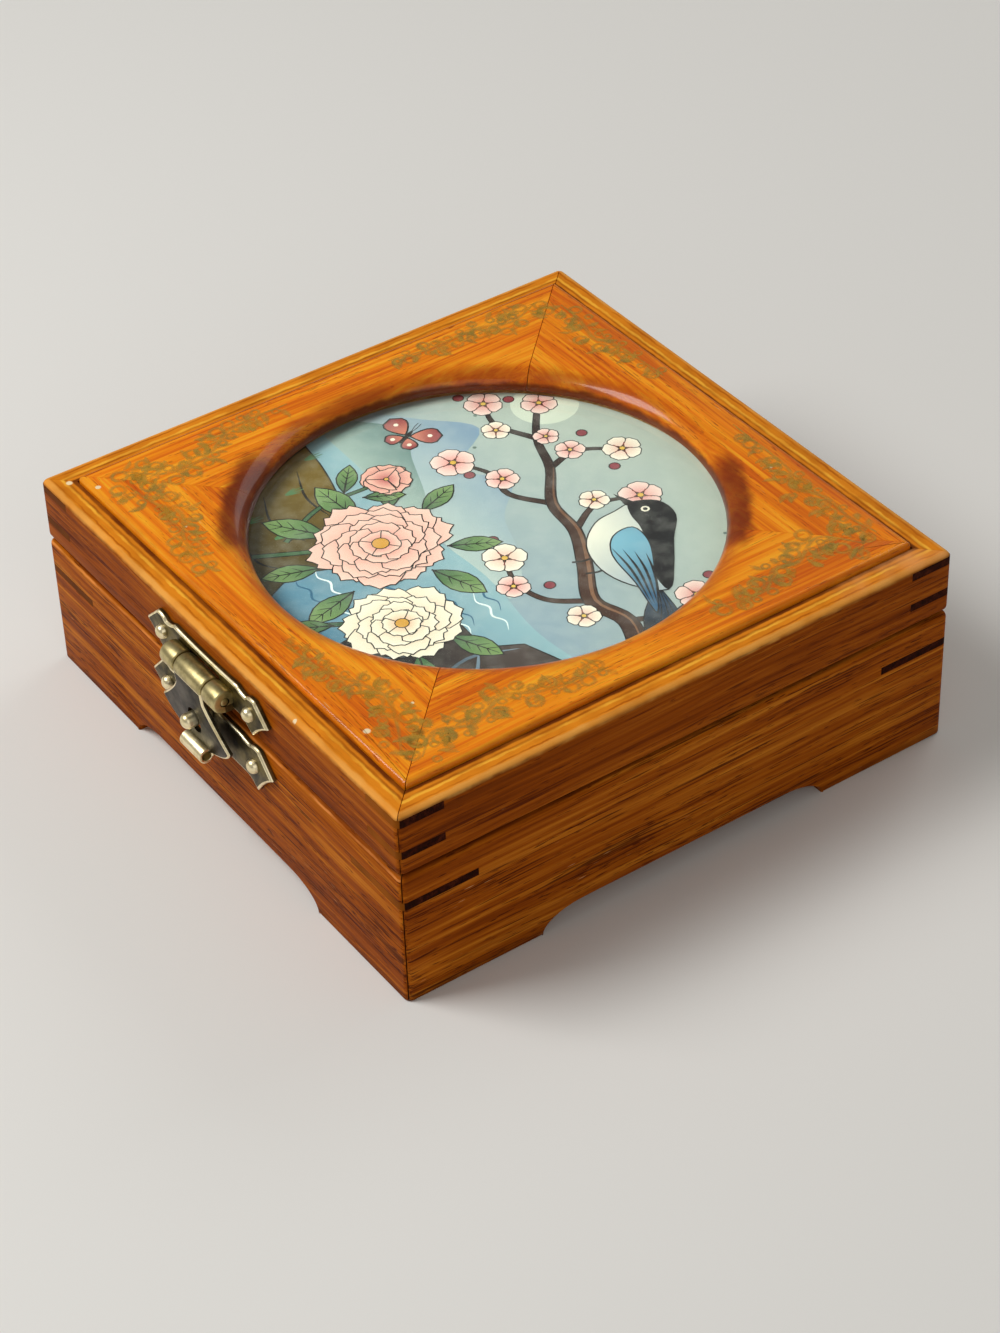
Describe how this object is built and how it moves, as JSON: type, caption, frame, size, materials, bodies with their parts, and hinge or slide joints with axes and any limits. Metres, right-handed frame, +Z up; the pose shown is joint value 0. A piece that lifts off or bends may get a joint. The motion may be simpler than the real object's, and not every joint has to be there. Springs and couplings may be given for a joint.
{
  "type": "wooden trinket box",
  "caption": "Low square hinged wooden box with a round glazed picture in its lid, bracket feet, splined mitred corners and a brass hasp latch.",
  "frame": {"origin": "on the surface the box stands on, under the middle of the whole object with its latch and hinges", "axes": "+Z up; the latch is at the front on -Y, the hinges at the back on +Y, +X to the right seen from the front"},
  "size_m": [0.115, 0.1254, 0.0417],
  "materials": {
    "side_wood": "reddish brown hardwood with dark pores, stained and clear lacquered, satin",
    "top_wood": "amber lacquered hardwood with stencilled gold-green scrolls, satin gloss",
    "spline_wood": "near-black hardwood, lacquered",
    "plywood": "bare thin plywood",
    "lining_cloth": "dark red woven cloth over card",
    "picture_glass": "clear glass, painted on the back",
    "picture_board": "thin board with a painted front",
    "aged_brass": "antiqued brass, rubbed bright on the edges",
    "dark_brass": "antiqued brass, nearly black on the flat with bright edges"
  },
  "bodies": {
    "base": {"base_board_front": "side_wood", "base_board_right": "side_wood", "base_board_back": "side_wood", "base_board_left": "side_wood", "base_spline_back_right": "spline_wood", "base_spline_back_left": "spline_wood", "base_spline_front_left": "spline_wood", "base_spline_front_right": "spline_wood", "bottom_board": "plywood", "base_liner": "lining_cloth", "catch_plate": "aged_brass", "catch_knob": "aged_brass", "catch_nail_left": "aged_brass", "catch_nail_right": "aged_brass", "hinge_1_base_leaf": "aged_brass", "hinge_1_pin": "aged_brass", "hinge_1_base_nail_1": "aged_brass", "hinge_1_base_nail_2": "aged_brass", "hinge_2_base_leaf": "aged_brass", "hinge_2_pin": "aged_brass", "hinge_2_base_nail_1": "aged_brass", "hinge_2_base_nail_2": "aged_brass"},
    "lid": {"lid_board_front": "side_wood", "lid_board_right": "side_wood", "lid_board_back": "side_wood", "lid_board_left": "side_wood", "top_rail_front": "top_wood", "top_rail_right": "top_wood", "top_rail_back": "top_wood", "top_rail_left": "top_wood", "lid_spline_lower_back_right": "spline_wood", "lid_spline_lower_back_left": "spline_wood", "lid_spline_lower_front_left": "spline_wood", "lid_spline_lower_front_right": "spline_wood", "lid_spline_upper_back_right": "spline_wood", "lid_spline_upper_back_left": "spline_wood", "lid_spline_upper_front_left": "spline_wood", "lid_spline_upper_front_right": "spline_wood", "picture_glass": "picture_glass", "picture_backing": "picture_board", "lid_liner": "lining_cloth", "latch_plate": "aged_brass", "latch_pin": "aged_brass", "latch_nail_left": "aged_brass", "latch_nail_right": "aged_brass", "hinge_1_lid_leaf": "aged_brass", "hinge_1_lid_nail_1": "aged_brass", "hinge_1_lid_nail_2": "aged_brass", "hinge_2_lid_leaf": "aged_brass", "hinge_2_lid_nail_1": "aged_brass", "hinge_2_lid_nail_2": "aged_brass"},
    "hasp": {"hasp": "dark_brass"}
  },
  "joints": [
    {"name": "lid_hinge", "type": "hinge", "parent": "base", "child": "lid", "pos_m": [0, 0.061, 0.02765], "axis": [-1, 0, 0], "range_deg": [0, 105]},
    {"name": "hasp_hinge", "type": "hinge", "parent": "lid", "child": "hasp", "pos_m": [0.0006, -0.0587, 0.034], "axis": [-1, 0, 0], "range_deg": [0, 150]}
  ]
}
